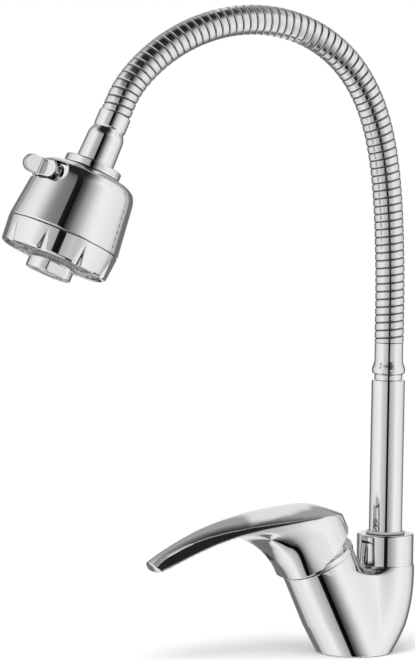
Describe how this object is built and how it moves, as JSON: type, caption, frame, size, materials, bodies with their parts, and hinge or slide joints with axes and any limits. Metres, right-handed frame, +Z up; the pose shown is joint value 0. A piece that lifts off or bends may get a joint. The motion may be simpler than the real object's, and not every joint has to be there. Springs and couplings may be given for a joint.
{
  "type": "flexible kitchen faucet",
  "caption": "Single-lever kitchen faucet: a forked cast body with a slanted mixer and lever, a swivelling riser, a ribbed stay-put gooseneck and a two-mode spray head.",
  "frame": {"origin": "centre of the round base's underside, on the sink deck", "axes": "+Z up, -Y forward: the lever, the gooseneck's reach and the spray head point along -Y, +X is the side that the picture is taken from, and the faucet is symmetric about the plane X = 0"},
  "size_m": [0.0734, 0.2881, 0.4216],
  "materials": {
    "chrome_plate": "polished",
    "hose_steel": "satin",
    "spring_steel": "satin",
    "brass": "satin",
    "seal_rubber": "matte",
    "white_plastic": "satin",
    "grey_plastic": "satin",
    "dark_plastic": "satin",
    "ceramic": "satin"
  },
  "bodies": {
    "tap_body": {"body_casting": "chrome_plate", "base_gasket": "seal_rubber", "cartridge_case": "dark_plastic", "cartridge_seal": "seal_rubber", "fixed_ceramic_disc": "ceramic", "cartridge_nut": "brass", "dome_cap": "chrome_plate", "riser_collar": "chrome_plate", "riser_bush": "white_plastic", "riser_wiper": "seal_rubber"},
    "spindle_carrier": {"spindle_carrier": "white_plastic", "lift_pin": "spring_steel"},
    "handle": {"handle_lever": "chrome_plate", "cartridge_stem": "brass", "handle_screw": "spring_steel", "indicator_plug": "dark_plastic"},
    "moving_disc": {"moving_ceramic_disc": "ceramic", "disc_slider": "white_plastic"},
    "riser": {"riser_tube": "chrome_plate", "riser_seal_lower": "seal_rubber", "riser_seal_upper": "seal_rubber", "riser_snap_ring": "spring_steel", "lower_ferrule": "chrome_plate", "hose_link_01": "hose_steel"},
    "hose_02": {"hose_link_02": "hose_steel"},
    "hose_03": {"hose_link_03": "hose_steel"},
    "hose_04": {"hose_link_04": "hose_steel"},
    "hose_05": {"hose_link_05": "hose_steel"},
    "hose_06": {"hose_link_06": "hose_steel"},
    "hose_07": {"hose_link_07": "hose_steel"},
    "hose_08": {"hose_link_08": "hose_steel"},
    "hose_09": {"hose_link_09": "hose_steel"},
    "hose_10": {"hose_link_10": "hose_steel"},
    "hose_11": {"hose_link_11": "hose_steel"},
    "hose_12": {"hose_link_12": "hose_steel"},
    "hose_13": {"hose_link_13": "hose_steel"},
    "hose_14": {"hose_link_14": "hose_steel"},
    "hose_15": {"hose_link_15": "hose_steel", "upper_ferrule": "chrome_plate", "swivel_seal": "seal_rubber", "swivel_clip": "spring_steel"},
    "spray_head": {"head_collar": "chrome_plate", "head_shell": "chrome_plate", "head_core": "grey_plastic", "flow_divider": "grey_plastic", "face_ring": "chrome_plate", "spray_face": "grey_plastic", "aerator_body": "chrome_plate", "aerator_insert": "white_plastic", "aerator_washer": "seal_rubber"},
    "mode_lever": {"mode_lever": "chrome_plate", "diverter_disc": "ceramic"}
  },
  "joints": [
    {"name": "mix_turn", "type": "hinge", "parent": "tap_body", "child": "spindle_carrier", "pos_m": [0, -0.0274, 0.0609], "axis": [0, -0.4384, 0.8988], "range_deg": [-45, 45]},
    {"name": "lever_lift", "type": "hinge", "parent": "spindle_carrier", "child": "handle", "pos_m": [0, -0.02915, 0.06449], "axis": [-1, 0, 0], "range_deg": [0, 18]},
    {"name": "disc_slide", "type": "slide", "parent": "spindle_carrier", "child": "moving_disc", "axis": [0, -0.8988, -0.4384], "range_m": [0, 0.0052]},
    {"name": "riser_swivel", "type": "hinge", "parent": "tap_body", "child": "riser", "pos_m": [0, 0.022, 0], "axis": [0, 0, 1], "continuous": true},
    {"name": "bend_02", "type": "hinge", "parent": "riser", "child": "hose_02", "pos_m": [0, 0.02198, 0.22965], "axis": [1, 0, 0], "range_deg": [-15, 5]},
    {"name": "bend_03", "type": "hinge", "parent": "hose_02", "child": "hose_03", "pos_m": [0, 0.02144, 0.25529], "axis": [1, 0, 0], "range_deg": [-15, 5]},
    {"name": "side_04", "type": "hinge", "parent": "hose_03", "child": "hose_04", "pos_m": [0, 0.02021, 0.28091], "axis": [0, 0.9981, 0.061], "range_deg": [-15, 15]},
    {"name": "bend_05", "type": "hinge", "parent": "hose_04", "child": "hose_05", "pos_m": [0, 0.01797, 0.30646], "axis": [1, 0, 0], "range_deg": [-15, 5]},
    {"name": "bend_06", "type": "hinge", "parent": "hose_05", "child": "hose_06", "pos_m": [0, 0.01385, 0.33177], "axis": [1, 0, 0], "range_deg": [-15, 5]},
    {"name": "side_07", "type": "hinge", "parent": "hose_06", "child": "hose_07", "pos_m": [0, 0.00636, 0.35627], "axis": [0, 0.9272, 0.3746], "range_deg": [-15, 15]},
    {"name": "bend_08", "type": "hinge", "parent": "hose_07", "child": "hose_08", "pos_m": [0, -0.00623, 0.37853], "axis": [1, 0, 0], "range_deg": [-15, 5]},
    {"name": "bend_09", "type": "hinge", "parent": "hose_08", "child": "hose_09", "pos_m": [0, -0.02461, 0.39627], "axis": [1, 0, 0], "range_deg": [-15, 5]},
    {"name": "side_10", "type": "hinge", "parent": "hose_09", "child": "hose_10", "pos_m": [0, -0.04748, 0.40768], "axis": [0, 0.309, 0.9511], "range_deg": [-15, 15]},
    {"name": "bend_11", "type": "hinge", "parent": "hose_10", "child": "hose_11", "pos_m": [0, -0.07263, 0.41234], "axis": [1, 0, 0], "range_deg": [-15, 5]},
    {"name": "bend_12", "type": "hinge", "parent": "hose_11", "child": "hose_12", "pos_m": [0, -0.09815, 0.41055], "axis": [1, 0, 0], "range_deg": [-15, 5]},
    {"name": "side_13", "type": "hinge", "parent": "hose_12", "child": "hose_13", "pos_m": [0, -0.12256, 0.40286], "axis": [0, -0.4067, 0.9135], "range_deg": [-15, 15]},
    {"name": "bend_14", "type": "hinge", "parent": "hose_13", "child": "hose_14", "pos_m": [0, -0.14461, 0.38987], "axis": [1, 0, 0], "range_deg": [-15, 5]},
    {"name": "bend_15", "type": "hinge", "parent": "hose_14", "child": "hose_15", "pos_m": [0, -0.16302, 0.37209], "axis": [1, 0, 0], "range_deg": [-15, 5]},
    {"name": "head_swivel", "type": "hinge", "parent": "hose_15", "child": "spray_head", "pos_m": [0, -0.17521, 0.34963], "axis": [0, 0.4067, 0.9135], "continuous": true},
    {"name": "mode_turn", "type": "hinge", "parent": "spray_head", "child": "mode_lever", "pos_m": [0, -0.17521, 0.34963], "axis": [0, 0.4067, 0.9135], "range_deg": [-12, 12]}
  ],
  "couplings": [
    {"joint": "disc_slide", "follows": "lever_lift", "m_per_rad": 0.0162}
  ]
}
